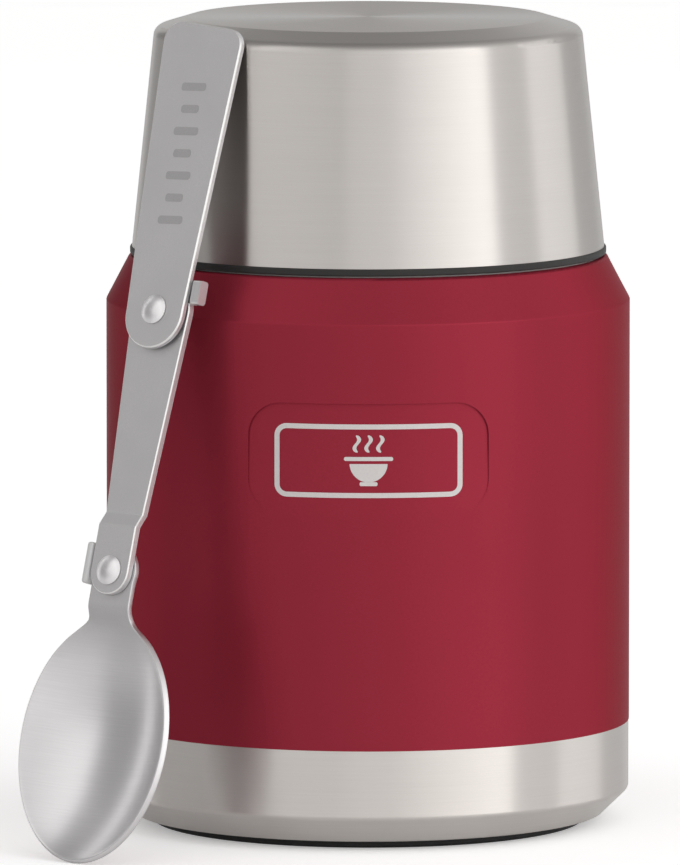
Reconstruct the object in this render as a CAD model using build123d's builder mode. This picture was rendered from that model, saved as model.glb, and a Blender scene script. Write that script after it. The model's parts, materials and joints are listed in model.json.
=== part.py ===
from build123d import *
from math import atan, cos, radians, sin
import os

# Vacuum-insulated food jar with a screw-on cup lid, a screw stopper under it and a folding spoon.
# Millimetres. +Z is up, the origin is the centre of the foot on the floor, the front faces -Y.

os.makedirs("parts", exist_ok=True)

# ---- driving sizes: jar ----
body_radius = 47.5
body_wall = 0.9
body_height = 95.3  # floor to the start of the shoulder
shoulder_run = 4.2
shoulder_rise = 8.0
shoulder_round = 0.8
neck_rise = 10.9
neck_wall = 0.7
band_height = 18.6  # floor to the lower end of the coloured coat
band_step = 0.1  # the bare band is this much smaller in radius than the coated wall
base_wall = 0.6
base_bevel_run = 4.7
base_bevel_rise = 4.6
base_lift = 1.6  # the steel base stands this far off the floor
foot_inset = 8.2  # wall to the edge of the foot
foot_thickness = 2.6
foot_groove_inset = 6.8  # edge of the foot to its groove
foot_groove_width = 4.5
foot_groove_depth = 0.6
foot_round = 0.5
base_recess_round = 0.4
base_edge_round = 0.8
band_edge_round = 1.2

# ---- driving sizes: pressed front panel ----
panel_width = 43.0
panel_height = 20.0
panel_middle = 71.2
panel_corner = 6.0
panel_depth = 0.45  # at the top edge; it fades out to nothing at the lower edge

# ---- driving sizes: inner vessel and vacuum parts ----
vessel_wall = 0.6
vacuum_gap = 3.7
vessel_floor = 10.5
vessel_floor_round = 8.0
vessel_shoulder_height = 90.0
vessel_shoulder_rise = 8.0
mouth_band = 3.8  # neck outside to mouth inside, with both walls and the vacuum between
lip_thickness = 0.8
lip_round = 0.35
vessel_shoulder_round = 6.0
vessel_neck_round = 3.0
plate_height = 7.0
plate_wall = 0.6
plate_sleeve = 17.0
plate_round = 3.0
dimple_radius = 4.0
dimple_depth = 1.5
port_radius = 0.8
seal_pellet_radius = 1.7
seal_pellet_height = 0.7
getter_radius = 5.0
getter_height = 1.6
getter_offset = 20.0
getter_chamfer = 0.3
foil_thickness = 0.15
foil_height = 62.0
foil_start = 21.0

# ---- driving sizes: screw threads ----
thread_lead = 16.0
thread_starts = 4
thread_height = 1.1
thread_root_width = 1.9
thread_crest_width = 1.1
thread_sink = 0.3
thread_clearance = 0.4
neck_thread_start = 2.9  # ledge to the lower end of the neck's threads
neck_thread_margin = 1.0  # plain neck above the threads
ring_thread_margin = 1.4
mouth_thread_drop = 3.6  # lip to the upper end of the mouth's threads
mouth_thread_rise = 6.4

# ---- driving sizes: lid ----
lid_inset = 0.45  # the lid edge sits this far inside the shoulder's top edge
lid_wall = 0.6
lid_height = 39.7  # lower steel edge to the rim corner
lid_taper = 4.1
rim_bevel_run = 6.25
rim_bevel_rise = 1.9
rim_round = 2.0
rim_edge_round = 0.6
ring_flange_thickness = 1.3
ring_flange_proud = 0.35
ring_body_height = 8.1
ring_wall = 1.6
small_round = 0.3  # broken edges of the ring, seals and pellet
lid_gap = 0.3  # between the lid's ring and the shoulder
lid_seal_thickness = 1.2
lid_seal_width = 1.9
lid_seal_inset = 0.6  # ring bore to the seal
bowl_top_gap = 2.7
bowl_wall = 0.6
bowl_side_gap = 0.3
bowl_round = 3.1

# ---- driving sizes: stopper ----
stopper_seal_thickness = 1.0
stopper_seal_width = 2.0
plug_depth = 18.0
plug_wall = 2.0
plug_round = 1.5
plug_inner_round = 0.8
brim_thickness = 2.2
brim_round = 0.4
brim_side_clearance = 0.6
brim_scallops = 30
brim_scallop_radius = 1.3
brim_scallop_depth = 0.45
cover_thickness = 1.7
cover_wall = 1.6
cover_pocket_depth = 9.8
cover_edge_round = 0.8
cover_floor_round = 1.2
grip_round = 1.2
grip_width = 9.0
grip_drop = 0.5  # the grip bar's top is this far below the cover's top
foam_gap = 0.2
foam_round = 1.0

# ---- driving sizes: folding spoon ----
spoon_turn = 39.0  # direction of the spoon from the front, towards -X
spoon_lean = 15.9  # neck plate, from the vertical
spoon_offset = -3.9  # sideways from the line through the jar's axis
plate_thickness = 1.3
plate_gap = 0.1
edge_break = 0.25
round_margin = 0.1  # keeps end roundings just short of a full half circle
oval_margin = 0.02
link_length = 47.4  # rivet to rivet
link_low_half = 4.3
link_high_half = 6.6
link_step_start = 8.2
link_step_end = 10.6
link_step_round = 0.5
link_edge_break = 0.2
handle_over_rim = 3.36  # where it rests on the lid's rim to its top edge
handle_low_half = 6.5
handle_high_half = 9.2
handle_end_radius = 7.0
handle_corner = 3.5
handle_tilt = 2.8  # the handle plate leans this much more than the link
handle_gap = 0.45
handle_skew = 2.2
handle_end_rise = 1.0  # the handle's left top corner is this much higher, the right one lower
neck_end_radius = 4.9
neck_half = 4.65
neck_flat = 6.2  # rivet to the start of the drop into the bowl
neck_drop_end = 9.8
neck_drop = 1.5
neck_flare = 5.0
rim_tilt = 1.1
bowl_half_width = 16.3
bowl_half_length = 22.0
bowl_depth = 5.8
bowl_thickness = 0.9
bowl_start = 1.0  # the bowl's upper end lies this far above the end of the drop
link_ear_inner = 7.1
link_ear_width = 1.8
link_ear_low = 1.8
link_ear_length = 4.3
link_ear_height = 0.9  # how far it stands in front of the link
link_ear_round = 0.6
neck_tab_inner = 4.75
neck_tab_width = 1.3
neck_tab_low = -2.7
neck_tab_length = 7.5
neck_tab_round = 0.5
neck_tab_height = 1.6  # how far it stands in front of the neck plate
rivet_radius = 1.6
rivet_running_fit = 0.05
rivet_head_radius = 2.65
rivet_head_height = 0.9
rivet_tail_radius = 2.4
rivet_tail_height = 0.6
rivet_head_gap = 0.08
rivet_tail_gap = 0.12
rivet_edge = 0.2  # upright edge of a rivet's head and tail
rivet_tail_bevel = 0.4
spoon_rest_gap = 0.3  # between the handle and the lid's rim

# ---- derived sizes: jar ----
foot_radius = body_radius - foot_inset
foot_groove_outer = foot_radius - foot_groove_inset
foot_groove_inner = foot_groove_outer - foot_groove_width
ledge_height = body_height + shoulder_rise
shoulder_top_radius = body_radius - shoulder_run
lid_edge_radius = shoulder_top_radius - lid_inset
lid_slope = lid_taper / lid_height
ring_bottom = ledge_height + lid_gap
lid_bottom = ring_bottom + ring_flange_thickness
ring_top = lid_bottom + ring_body_height
rim_height = lid_bottom + lid_height
rim_radius = lid_edge_radius - lid_taper
lid_top = rim_height + rim_bevel_rise
ring_top_radius = lid_edge_radius - lid_wall - plate_gap - lid_slope * ring_body_height
ring_bore = ring_top_radius - ring_wall
neck_radius = ring_bore - thread_clearance - thread_height
neck_top = ledge_height + neck_rise
lip_top = neck_top + lip_thickness
mouth_radius = neck_radius - mouth_band
vessel_radius = body_radius - body_wall - vacuum_gap
vessel_neck_radius = mouth_radius + vessel_wall


def turned(*corners):
    """Profile for a turned piece: corners are (radius, height) or (radius, height, rounding)."""
    points = [corner[:2] for corner in corners]
    rounding = [corner[2] if len(corner) > 2 else 0 for corner in corners]
    with BuildSketch(Plane.XZ) as profile:
        with BuildLine():
            FilletPolyline(points, radius=rounding, close=True)
        make_face()
    return profile.sketch


def thread_ridge(wall_radius, side, bottom, rise):
    """One helical thread ridge on a wall; side is +1 when it stands outwards and -1 inwards."""
    with BuildPart() as ridge:
        helix = Helix(pitch=thread_lead, height=rise, radius=wall_radius, center=(0, 0, bottom))
        with BuildSketch(Plane(origin=helix @ 0, x_dir=(side, 0, 0), z_dir=helix % 0)):
            with BuildLine():
                Polyline(
                    (-thread_sink, -thread_root_width / 2),
                    (thread_height, -thread_crest_width / 2),
                    (thread_height, thread_crest_width / 2),
                    (-thread_sink, thread_root_width / 2),
                    close=True,
                )
            make_face()
        sweep(path=helix, is_frenet=True)
    return ridge.part


def lid_radius_at(height):
    """Outside radius of the lid's side at a height above the floor."""
    return lid_edge_radius - lid_slope * (height - lid_bottom)


thread_spacing = thread_lead / thread_starts
neck_thread_bottom = ledge_height + neck_thread_start
neck_thread_rise = neck_top - neck_thread_bottom - thread_root_width - neck_thread_margin
ring_thread_bottom = neck_thread_bottom - thread_spacing / 2
ring_thread_rise = ring_top - ring_thread_bottom - thread_root_width - ring_thread_margin

# ---- jar: outer casing ----
neck_ridge = thread_ridge(neck_radius, 1, neck_thread_bottom, neck_thread_rise)
panel_bottom = panel_middle - panel_height / 2
panel_top = panel_middle + panel_height / 2

with BuildPart() as panel_tool:
    with BuildSketch(Plane.XZ.offset(body_radius / 2)):
        with Locations((0, panel_middle)):
            RectangleRounded(panel_width, panel_height, panel_corner)
    extrude(amount=body_radius)
    panel_floor = turned(
        (body_radius, panel_bottom),
        (body_radius - panel_depth, panel_top),
        (body_radius + panel_depth, panel_top),
        (body_radius + panel_depth, panel_bottom),
    )
    revolve(panel_floor, axis=Axis.Z, mode=Mode.INTERSECT)

with BuildPart() as outer_casing:
    casing_outside = turned(
        (0, band_height),
        (body_radius, band_height),
        (body_radius, body_height, shoulder_round),
        (shoulder_top_radius, ledge_height, shoulder_round),
        (neck_radius, ledge_height, shoulder_round),
        (neck_radius, neck_top),
        (0, neck_top),
    )
    revolve(casing_outside, axis=Axis.Z)
    add(panel_tool.part, mode=Mode.SUBTRACT)
    casing_inside = turned(
        (0, band_height),
        (body_radius - body_wall, band_height),
        (body_radius - body_wall, body_height),
        (shoulder_top_radius - body_wall, ledge_height - body_wall),
        (neck_radius - neck_wall, ledge_height - body_wall),
        (neck_radius - neck_wall, neck_top),
        (0, neck_top),
    )
    revolve(casing_inside, axis=Axis.Z, mode=Mode.SUBTRACT)
    with PolarLocations(0, thread_starts):
        add(neck_ridge)
outer_casing.part.label = "outer_casing"
export_step(outer_casing.part, "parts/outer_casing.step")

# ---- jar: steel base ----
band_radius = body_radius - band_step
base_edge_radius = band_radius - base_bevel_run
base_floor = foot_thickness
base_recess_radius = foot_radius + plate_gap

with BuildPart() as base_cup:
    base_outside = turned(
        (0, base_floor),
        (base_recess_radius, base_floor, base_recess_round),
        (base_recess_radius, base_lift),
        (base_edge_radius, base_lift, base_edge_round),
        (band_radius, base_lift + base_bevel_rise, band_edge_round),
        (band_radius, band_height),
        (0, band_height),
    )
    revolve(base_outside, axis=Axis.Z)
    base_inside = turned(
        (0, base_floor + base_wall),
        (base_recess_radius + base_wall, base_floor + base_wall),
        (base_edge_radius - base_wall / 2, base_floor + base_wall),
        (band_radius - base_wall, base_lift + base_bevel_rise + base_wall),
        (band_radius - base_wall, band_height),
        (0, band_height),
    )
    revolve(base_inside, axis=Axis.Z, mode=Mode.SUBTRACT)
base_cup.part.label = "base_cup"
export_step(base_cup.part, "parts/base_cup.step")

with BuildPart() as foot_pad:
    foot_profile = turned(
        (0, 0),
        (foot_groove_inner, 0),
        (foot_groove_inner + foot_groove_depth, foot_groove_depth),
        (foot_groove_outer - foot_groove_depth, foot_groove_depth),
        (foot_groove_outer, 0),
        (foot_radius, 0, foot_round),
        (foot_radius, foot_thickness, foot_round),
        (0, foot_thickness),
    )
    revolve(foot_profile, axis=Axis.Z)
foot_pad.part.label = "foot_pad"
export_step(foot_pad.part, "parts/foot_pad.step")

# ---- jar: bottom of the vacuum space, its sealed port and its getter ----
sleeve_radius = body_radius - body_wall - plate_gap / 2
plate_top = plate_height + plate_wall

with BuildPart() as vacuum_base_plate:
    plate_profile = turned(
        (port_radius, plate_height + dimple_depth),
        (dimple_radius, plate_height + dimple_depth),
        (dimple_radius + dimple_depth, plate_height),
        (sleeve_radius, plate_height, plate_round),
        (sleeve_radius, plate_height + plate_sleeve),
        (sleeve_radius - plate_wall, plate_height + plate_sleeve),
        (sleeve_radius - plate_wall, plate_top, plate_round - plate_wall),
        (dimple_radius + dimple_depth, plate_top),
        (dimple_radius, plate_top + dimple_depth),
        (port_radius, plate_top + dimple_depth),
    )
    revolve(plate_profile, axis=Axis.Z)
vacuum_base_plate.part.label = "vacuum_base_plate"
export_step(vacuum_base_plate.part, "parts/vacuum_base_plate.step")

with BuildPart() as vacuum_seal:
    pellet_top = plate_height + dimple_depth
    pellet_profile = turned(
        (0, pellet_top - seal_pellet_height),
        (seal_pellet_radius, pellet_top - seal_pellet_height, small_round),
        (seal_pellet_radius, pellet_top),
        (port_radius, pellet_top),
        (port_radius, pellet_top + plate_wall / 2),
        (0, pellet_top + plate_wall / 2),
    )
    revolve(pellet_profile, axis=Axis.Z)
vacuum_seal.part.label = "vacuum_seal"
export_step(vacuum_seal.part, "parts/vacuum_seal.step")

with BuildPart() as getter:
    with BuildSketch(Plane.XY.offset(plate_top)):
        with Locations((getter_offset, 0)):
            Circle(getter_radius)
    extrude(amount=getter_height)
    chamfer(getter.faces().sort_by(Axis.Z)[-1].edges(), getter_chamfer)
getter.part.label = "getter"
export_step(getter.part, "parts/getter.step")

# ---- jar: inner vessel and its reflective foil ----
vessel_shoulder_top = vessel_shoulder_height + vessel_shoulder_rise
mouth_thread_bottom = lip_top - mouth_thread_drop - mouth_thread_rise
mouth_ridge = thread_ridge(mouth_radius, -1, mouth_thread_bottom, mouth_thread_rise)

with BuildPart() as inner_vessel:
    vessel_outside = turned(
        (0, vessel_floor),
        (vessel_radius, vessel_floor, vessel_floor_round),
        (vessel_radius, vessel_shoulder_height, vessel_shoulder_round),
        (vessel_neck_radius, vessel_shoulder_top, vessel_neck_round),
        (vessel_neck_radius, neck_top),
        (neck_radius, neck_top),
        (neck_radius, lip_top, lip_round),
        (0, lip_top),
    )
    revolve(vessel_outside, axis=Axis.Z)
    vessel_inside = turned(
        (0, vessel_floor + vessel_wall),
        (vessel_radius - vessel_wall, vessel_floor + vessel_wall, vessel_floor_round - vessel_wall),
        (vessel_radius - vessel_wall, vessel_shoulder_height, vessel_shoulder_round - vessel_wall),
        (mouth_radius, vessel_shoulder_top, vessel_neck_round + vessel_wall),
        (mouth_radius, lip_top),
        (0, lip_top),
    )
    revolve(vessel_inside, axis=Axis.Z, mode=Mode.SUBTRACT)
    with PolarLocations(0, thread_starts):
        add(mouth_ridge)
inner_vessel.part.label = "inner_vessel"
export_step(inner_vessel.part, "parts/inner_vessel.step")

foil_radius = vessel_radius + plate_gap / 2

with BuildPart() as reflective_foil:
    with BuildSketch(Plane.XY.offset(foil_start)):
        Circle(foil_radius + foil_thickness)
        Circle(foil_radius, mode=Mode.SUBTRACT)
    extrude(amount=foil_height)
reflective_foil.part.label = "reflective_foil"
export_step(reflective_foil.part, "parts/reflective_foil.step")

# ---- lid: steel shell, inner bowl, threaded ring and gasket ----
with BuildPart() as lid_shell:
    shell_outside = turned(
        (0, lid_bottom),
        (lid_edge_radius, lid_bottom),
        (rim_radius, rim_height, rim_round),
        (rim_radius - rim_bevel_run, lid_top, rim_edge_round),
        (0, lid_top),
    )
    revolve(shell_outside, axis=Axis.Z)
    shell_inside = turned(
        (0, lid_bottom),
        (lid_edge_radius - lid_wall, lid_bottom),
        (rim_radius - lid_wall, rim_height - lid_wall / 2, rim_round - lid_wall),
        (rim_radius - rim_bevel_run - lid_wall / 2, lid_top - lid_wall),
        (0, lid_top - lid_wall),
    )
    revolve(shell_inside, axis=Axis.Z, mode=Mode.SUBTRACT)
lid_shell.part.label = "lid_shell"
export_step(lid_shell.part, "parts/lid_shell.step")

bowl_ceiling = lid_top - lid_wall - bowl_top_gap
bowl_inset = lid_wall + bowl_side_gap
bowl_foot_radius = lid_radius_at(ring_top) - bowl_inset
bowl_head_radius = lid_radius_at(bowl_ceiling) - bowl_inset

with BuildPart() as lid_bowl:
    bowl_outside = turned(
        (0, ring_top),
        (bowl_foot_radius, ring_top),
        (bowl_head_radius, bowl_ceiling, bowl_round),
        (0, bowl_ceiling),
    )
    revolve(bowl_outside, axis=Axis.Z)
    bowl_inside = turned(
        (0, ring_top),
        (bowl_foot_radius - bowl_wall, ring_top),
        (bowl_head_radius - bowl_wall, bowl_ceiling - bowl_wall, bowl_round - bowl_wall),
        (0, bowl_ceiling - bowl_wall),
    )
    revolve(bowl_inside, axis=Axis.Z, mode=Mode.SUBTRACT)
lid_bowl.part.label = "lid_bowl"
export_step(lid_bowl.part, "parts/lid_bowl.step")

ring_ridge = thread_ridge(ring_bore, -1, ring_thread_bottom, ring_thread_rise)
seal_inner_radius = ring_bore + lid_seal_inset
seal_outer_radius = seal_inner_radius + lid_seal_width
seal_top = ledge_height + lid_seal_thickness

with BuildPart() as lid_thread_ring:
    ring_profile = turned(
        (ring_bore, ring_bottom, small_round),
        (lid_edge_radius + ring_flange_proud, ring_bottom, small_round),
        (lid_edge_radius + ring_flange_proud, lid_bottom, small_round),
        (lid_edge_radius - lid_wall - plate_gap, lid_bottom),
        (ring_top_radius, ring_top),
        (ring_bore, ring_top, small_round),
    )
    revolve(ring_profile, axis=Axis.Z)
    seal_groove = turned(
        (seal_inner_radius - plate_gap, ring_bottom),
        (seal_outer_radius + plate_gap, ring_bottom),
        (seal_outer_radius + plate_gap, seal_top + plate_gap / 2),
        (seal_inner_radius - plate_gap, seal_top + plate_gap / 2),
    )
    revolve(seal_groove, axis=Axis.Z, mode=Mode.SUBTRACT)
    with PolarLocations(0, thread_starts):
        add(ring_ridge)
lid_thread_ring.part.label = "lid_thread_ring"
export_step(lid_thread_ring.part, "parts/lid_thread_ring.step")

with BuildPart() as lid_seal:
    lid_seal_profile = turned(
        (seal_inner_radius, ledge_height),
        (seal_outer_radius, ledge_height),
        (seal_outer_radius, seal_top, small_round),
        (seal_inner_radius, seal_top, small_round),
    )
    revolve(lid_seal_profile, axis=Axis.Z)
lid_seal.part.label = "lid_seal"
export_step(lid_seal.part, "parts/lid_seal.step")

# ---- stopper: plug with brim, foam filling, cover with its grip bar, and gasket ----
plug_radius = mouth_radius - thread_clearance - thread_height
plug_bottom = lip_top - plug_depth
plug_bore = plug_radius - plug_wall
brim_bottom = lip_top + stopper_seal_thickness
brim_top = brim_bottom + brim_thickness
cover_top = brim_top + cover_thickness
brim_radius = bowl_head_radius - bowl_wall - brim_side_clearance
pocket_floor = cover_top - cover_pocket_depth
cover_cup_radius = plug_bore - plate_gap
grip_top = cover_top - grip_drop
grip_bottom = pocket_floor - 0.8 * cover_wall
foam_top = pocket_floor - cover_wall - foam_gap
plug_ridge_bottom = mouth_thread_bottom - thread_spacing / 2
plug_ridge = thread_ridge(plug_radius, 1, plug_ridge_bottom, mouth_thread_rise)

with BuildPart() as stopper_body:
    plug_profile = turned(
        (0, plug_bottom),
        (plug_radius, plug_bottom, plug_round),
        (plug_radius, brim_bottom),
        (brim_radius, brim_bottom, brim_round),
        (brim_radius, brim_top, brim_round),
        (plug_bore, brim_top),
        (plug_bore, plug_bottom + plug_wall, plug_inner_round),
        (0, plug_bottom + plug_wall),
    )
    revolve(plug_profile, axis=Axis.Z)
    with PolarLocations(0, thread_starts):
        add(plug_ridge)
    with BuildSketch(Plane.XY.offset(brim_bottom)):
        with PolarLocations(brim_radius + brim_scallop_radius - brim_scallop_depth, brim_scallops):
            Circle(brim_scallop_radius)
    extrude(amount=brim_thickness, mode=Mode.SUBTRACT)
stopper_body.part.label = "stopper_body"
export_step(stopper_body.part, "parts/stopper_body.step")

with BuildPart() as stopper_foam:
    with BuildSketch(Plane.XY.offset(plug_bottom + plug_wall)):
        Circle(plug_bore - foam_gap)
    extrude(amount=foam_top - plug_bottom - plug_wall)
    fillet(stopper_foam.faces().sort_by(Axis.Z)[0].edges(), foam_round)
stopper_foam.part.label = "stopper_foam"
export_step(stopper_foam.part, "parts/stopper_foam.step")

with BuildPart() as stopper_cover:
    cover_profile = turned(
        (0, pocket_floor - cover_wall),
        (cover_cup_radius, pocket_floor - cover_wall, plug_round),
        (cover_cup_radius, brim_top),
        (brim_radius - brim_scallop_depth, brim_top),
        (brim_radius - brim_scallop_depth, cover_top, cover_edge_round),
        (cover_cup_radius - cover_wall, cover_top, cover_edge_round),
        (cover_cup_radius - cover_wall, pocket_floor, cover_floor_round),
        (0, pocket_floor),
    )
    revolve(cover_profile, axis=Axis.Z)
    with BuildSketch(Plane.YZ):
        with Locations((0, (grip_top + grip_bottom) / 2)):
            RectangleRounded(grip_width, grip_top - grip_bottom, grip_round)
    extrude(amount=cover_cup_radius - cover_wall / 2, both=True)
stopper_cover.part.label = "stopper_cover"
export_step(stopper_cover.part, "parts/stopper_cover.step")

with BuildPart() as stopper_seal:
    stopper_seal_profile = turned(
        (mouth_radius, lip_top),
        (mouth_radius + stopper_seal_width, lip_top),
        (mouth_radius + stopper_seal_width, brim_bottom),
        (mouth_radius, brim_bottom),
    )
    revolve(stopper_seal_profile, axis=Axis.Z)
stopper_seal.part.label = "stopper_seal"
export_step(stopper_seal.part, "parts/stopper_seal.step")

# ---- folding spoon: where it stands ----
# The spoon leans in an upright plane through the jar's axis. Distances in that plane are
# (out, up): out from the jar's axis and up from the floor.
lean = radians(spoon_lean)
handle_lean = radians(spoon_lean + handle_tilt)
turn = radians(spoon_turn)
tilt = radians(rim_tilt)
skew = radians(handle_skew)

# centre of the lid's rounded rim corner, which carries the handle
side_angle = atan(lid_slope)
bevel_angle = atan(rim_bevel_run / rim_bevel_rise)
corner_reach = rim_round / cos((bevel_angle - side_angle) / 2)
corner_middle = (bevel_angle + side_angle) / 2
corner_out = rim_radius - corner_reach * cos(corner_middle)
corner_up = rim_height - corner_reach * sin(corner_middle)

# the bowl's tip, seen from the lower rivet, along and behind the neck plate
rim_length = 2 * bowl_half_length - bowl_start
tip_along = -neck_drop_end - rim_length * cos(tilt)
tip_depth = -neck_drop - rim_length * sin(tilt)

bowl_pivot_up = -tip_along * cos(lean) - tip_depth * sin(lean)
handle_pivot_up = bowl_pivot_up + link_length * cos(lean)
contact_reach = corner_out * cos(handle_lean) + corner_up * sin(handle_lean) + rim_round
pivot_reach = contact_reach + spoon_rest_gap - handle_gap - handle_pivot_up * sin(handle_lean)
handle_pivot_out = pivot_reach / cos(handle_lean)
bowl_pivot_out = handle_pivot_out + link_length * sin(lean)
rest_up = corner_up - handle_pivot_up
rest_in = handle_pivot_out - corner_out
rest_along = rest_up * cos(handle_lean) + rest_in * sin(handle_lean)
handle_length = rest_along + handle_over_rim

outward = Vector(-sin(turn), -cos(turn), 0)
across = Vector(cos(turn), -sin(turn), 0)
upward = Vector(0, 0, 1)
side_shift = across * spoon_offset
bowl_pivot = outward * bowl_pivot_out + upward * bowl_pivot_up + side_shift
handle_pivot = outward * handle_pivot_out + upward * handle_pivot_up + side_shift
plate_normal = outward * cos(lean) + upward * sin(lean)
plate_up = upward * cos(lean) - outward * sin(lean)
handle_normal = outward * cos(handle_lean) + upward * sin(handle_lean)
handle_up = upward * cos(handle_lean) - outward * sin(handle_lean)
handle_across = across * cos(skew) + handle_up * sin(skew)
rim_normal = plate_normal * cos(tilt) - plate_up * sin(tilt)
foot_line = outward * (bowl_pivot_out - tip_along * sin(lean) + tip_depth * cos(lean)) + side_shift

# X of these planes runs across the spoon, Y up along it and Z out of its front
neck_plane = Plane(origin=bowl_pivot, x_dir=across, z_dir=plate_normal)
handle_plane = Plane(origin=handle_pivot, x_dir=across, z_dir=handle_normal)
skewed_handle_plane = Plane(origin=handle_pivot, x_dir=handle_across, z_dir=handle_normal)
rim_origin = neck_plane.from_local_coords((0, -neck_drop_end, -neck_drop))
rim_plane = Plane(origin=rim_origin, x_dir=across, z_dir=rim_normal)
side_plane = Plane(origin=bowl_pivot, x_dir=neck_plane.y_dir, z_dir=across)

# ---- folding spoon: handle plate ----
low_round = handle_low_half - round_margin

with BuildPart() as spoon_handle:
    with BuildSketch(skewed_handle_plane.offset(handle_gap)):
        with BuildLine():
            FilletPolyline(
                (-handle_low_half, 0),
                (-handle_low_half, -handle_end_radius),
                (handle_low_half, -handle_end_radius),
                (handle_low_half, 0),
                (handle_high_half, handle_length - handle_end_rise),
                (-handle_high_half, handle_length + handle_end_rise),
                radius=[0, low_round, low_round, 0, handle_corner, handle_corner],
                close=True,
            )
        make_face()
        Circle(rivet_radius + rivet_running_fit, mode=Mode.SUBTRACT)
    extrude(amount=plate_thickness)
    plate_faces = spoon_handle.faces().filter_by(GeomType.PLANE).sort_by(SortBy.AREA)[-2:]
    chamfer(plate_faces.edges(), edge_break)
spoon_handle.part.label = "spoon_handle"
export_step(spoon_handle.part, "parts/spoon_handle.step")

# ---- folding spoon: link plate, stepped one thickness forward at its lower end ----
low_back = plate_gap
low_front = plate_gap + plate_thickness
link_end = link_length + link_high_half
ear_top = link_length + link_ear_low + link_ear_length
ear_middle = ear_top - link_ear_length / 2
low_end_round = link_low_half - round_margin
high_end_round = link_high_half - round_margin
bend_line_least = 1.0  # shorter straight edges belong to the round ends
face_spread = cos(radians(45))  # faces within this angle of the plate's front count as front
line_spread = cos(radians(5))  # lines within this angle of the cross direction count as bend lines


def faces_front(face):
    """True for the flat and bent faces on the link's front."""
    return face.normal_at().dot(plate_normal) > face_spread


def is_bend_line(edge):
    """True for the straight edges across the link, where its bends begin and end."""
    straight = edge.geom_type == GeomType.LINE and edge.length > bend_line_least
    return straight and abs(edge.tangent_at(0).dot(across)) > line_spread


with BuildPart() as spoon_link:
    with BuildSketch(side_plane.offset(-handle_high_half)):
        with BuildLine():
            FilletPolyline(
                (-neck_end_radius, low_back),
                (link_step_start, low_back),
                (link_step_end, -plate_thickness),
                (link_end, -plate_thickness),
                (link_end, 0),
                (link_step_end, 0),
                (link_step_start, low_front),
                (-neck_end_radius, low_front),
                radius=[0, link_step_round, link_step_round, 0, 0, link_step_round, link_step_round, 0],
                close=True,
            )
        make_face()
    extrude(amount=handle_high_half + link_ear_inner + link_ear_width)
    with BuildSketch(neck_plane.offset(-plate_thickness)):
        with BuildLine():
            FilletPolyline(
                (-link_low_half, 0),
                (-link_low_half, -link_low_half),
                (link_low_half, -link_low_half),
                (link_low_half, 0),
                (link_low_half, link_step_end),
                (link_high_half, link_length),
                (link_high_half, link_end),
                (-link_high_half, link_end),
                (-link_high_half, link_length),
                (-link_low_half, link_step_end),
                radius=[0, low_end_round, low_end_round, 0, 0, 0, high_end_round, high_end_round, 0, 0],
                close=True,
            )
        make_face()
        with Locations((link_ear_inner - link_ear_width / 2, ear_middle)):
            Rectangle(link_ear_width, link_ear_length)
    extrude(amount=plate_thickness + low_front, mode=Mode.INTERSECT)
    front_edges = spoon_link.faces().filter_by(faces_front).edges().filter_by(is_bend_line, reverse=True)
    chamfer(front_edges, link_edge_break)
    with BuildSketch(side_plane.offset(link_ear_inner)):
        with Locations((ear_middle, (link_ear_height - plate_thickness) / 2)):
            RectangleRounded(link_ear_length, plate_thickness + link_ear_height, link_ear_round)
    extrude(amount=link_ear_width)
    with BuildSketch(neck_plane.offset(-plate_thickness)):
        Circle(rivet_radius + rivet_running_fit)
    extrude(amount=plate_thickness + low_front, mode=Mode.SUBTRACT)
    with BuildSketch(handle_plane.offset(-2 * plate_thickness)):
        Circle(rivet_radius)
    extrude(amount=3 * plate_thickness, mode=Mode.SUBTRACT)
spoon_link.part.label = "spoon_link"
export_step(spoon_link.part, "parts/spoon_link.step")

# ---- folding spoon: bowl with its neck plate and stop tab ----
# The bowl is a cap of a spheroid whose cut by the rim plane is the bowl's oval rim.
cap_radius = (bowl_half_width**2 + bowl_depth**2) / (2 * bowl_depth)
cap_lift = cap_radius - bowl_depth
cap_stretch = bowl_half_length / bowl_half_width
oval_middle = bowl_start - bowl_half_length
bowl_reach = 4 * bowl_depth  # far enough before and behind the plate to take in the whole bowl
tab_middle = (-neck_tab_inner - neck_tab_width / 2, neck_tab_low + neck_tab_length / 2)
neck_top_end = neck_end_radius + neck_tab_length
flare_end = -neck_drop_end - neck_flare * cos(tilt)
flare_end_depth = -neck_drop - neck_flare * sin(tilt)
cap_middle = rim_plane.from_local_coords((0, oval_middle, cap_lift))
axis_plane = Plane(origin=cap_middle, x_dir=rim_plane.y_dir, z_dir=rim_plane.x_dir)
spin_axis = Axis(axis_plane.origin, axis_plane.x_dir)


def spheroid_half(radius):
    """Half oval to spin about the bowl's long axis."""
    with BuildSketch(axis_plane) as half:
        Ellipse(radius * cap_stretch, radius)
        with Locations((0, -radius)):
            Rectangle(4 * radius, 2 * radius, mode=Mode.INTERSECT)
    return half.sketch


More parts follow.
